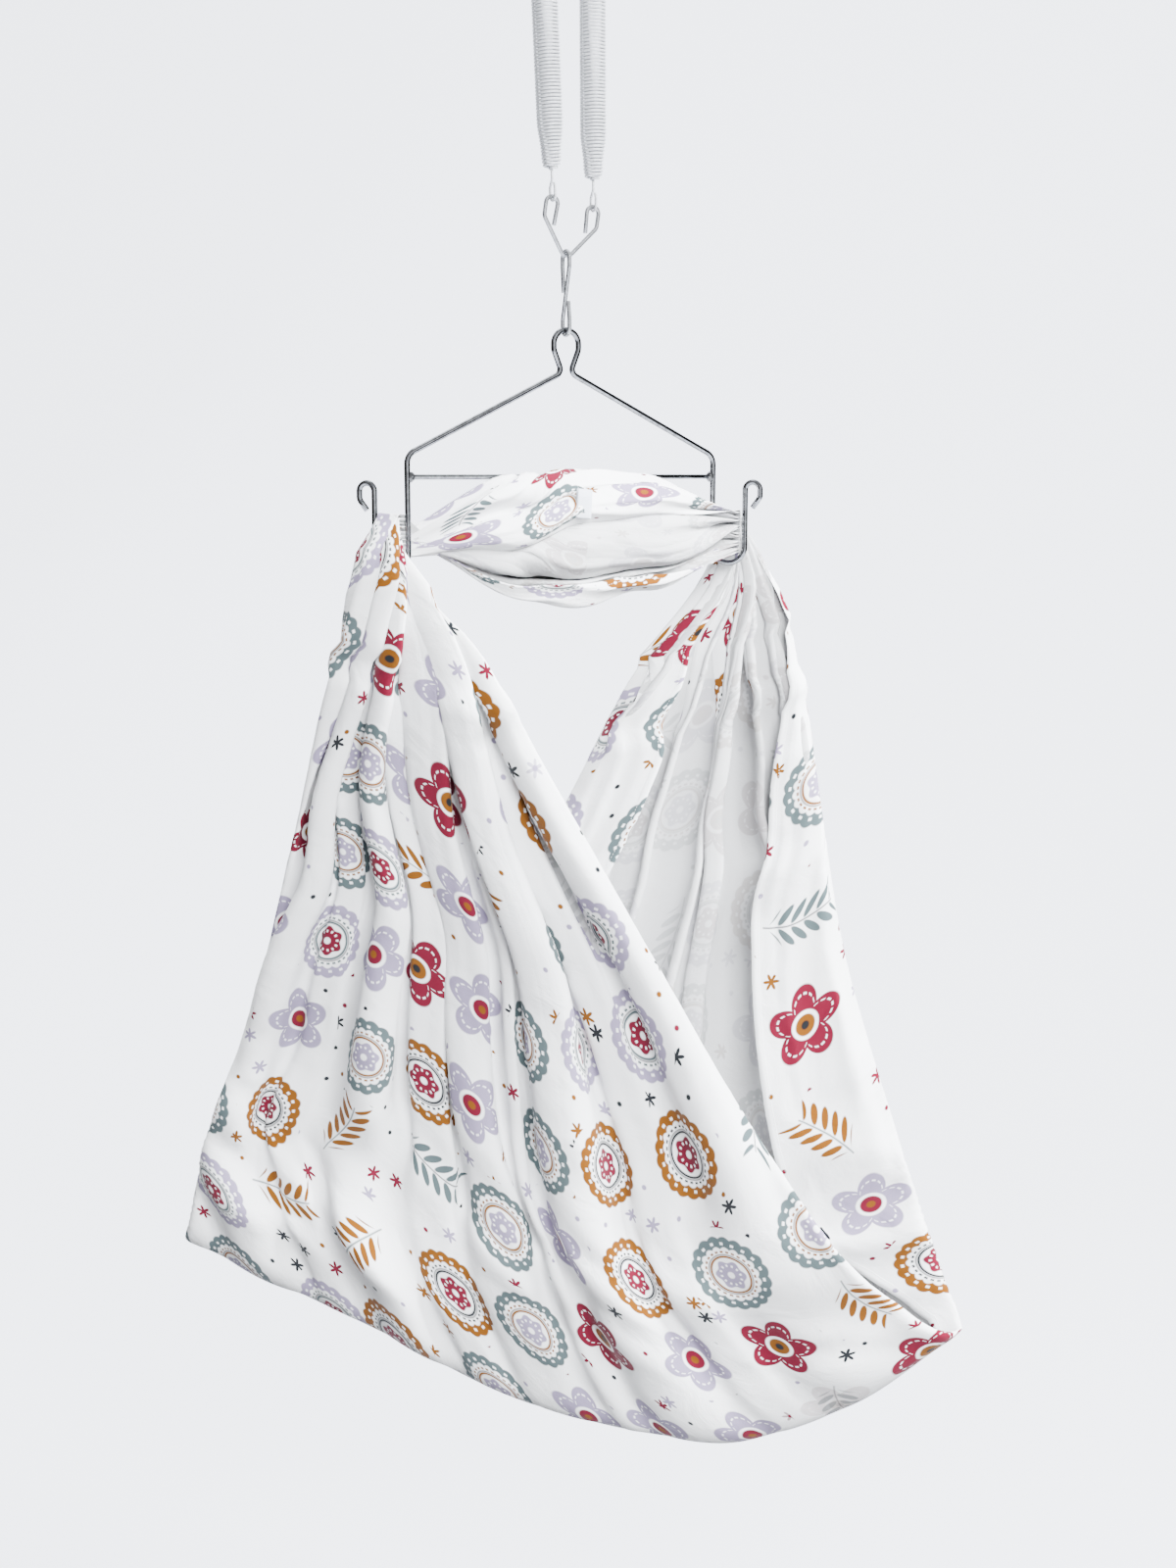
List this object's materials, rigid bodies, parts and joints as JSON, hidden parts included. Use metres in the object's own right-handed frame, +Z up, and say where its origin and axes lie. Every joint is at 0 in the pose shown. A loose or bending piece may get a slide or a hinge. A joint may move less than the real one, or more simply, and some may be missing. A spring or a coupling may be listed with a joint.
{
  "type": "hanging baby cradle",
  "caption": "Hanging baby cradle: a printed cotton sling on a bent chrome wire frame, hung by an S-hook from a pair of tension springs and wire yokes.",
  "frame": {"origin": "the point under the apex of the upper wire yoke, where the ceiling hook carries the cradle", "axes": "+Z up, +X along the crossbar to the right, -Y to the front"},
  "size_m": [0.6756, 0.4626, 1.5916],
  "materials": {
    "zinc_steel": "zinc plated, bright grey",
    "chrome": "polished chrome plating",
    "weld_bead": "plated over, uneven",
    "printed_cotton": null,
    "label_tape": "bare white satin tape"
  },
  "bodies": {
    "hanger_top": {"upper_yoke": "zinc_steel"},
    "spring_pair": {"left_spring": "zinc_steel", "right_spring": "zinc_steel"},
    "yoke_below": {"lower_yoke": "zinc_steel"},
    "hook": {"s_hook": "zinc_steel"},
    "cradle": {"frame_wire": "chrome", "cross_bar": "chrome", "left_weld": "weld_bead", "right_weld": "weld_bead", "sling_cloth": "printed_cotton", "label_tag": "label_tape"}
  },
  "joints": [
    {"name": "spring_swing", "type": "hinge", "parent": "hanger_top", "child": "spring_pair", "pos_m": [0, 0, -0.048], "axis": [1, 0, 0], "range_deg": [-25, 25]},
    {"name": "spring_bounce", "type": "slide", "parent": "spring_pair", "child": "yoke_below", "axis": [0, 0, -1], "range_m": [0, 0.15], "stiffness_N_per_m": 600, "springref_m": -0.033, "deforming": ["left_spring", "right_spring"]},
    {"name": "hook_swing", "type": "hinge", "parent": "yoke_below", "child": "hook", "pos_m": [0, 0, -0.4004], "axis": [1, 0, 0], "range_deg": [-35, 35]},
    {"name": "cradle_rock", "type": "hinge", "parent": "hook", "child": "cradle", "pos_m": [0, 0, -0.4731], "axis": [0, 1, 0], "range_deg": [-20, 20]}
  ]
}
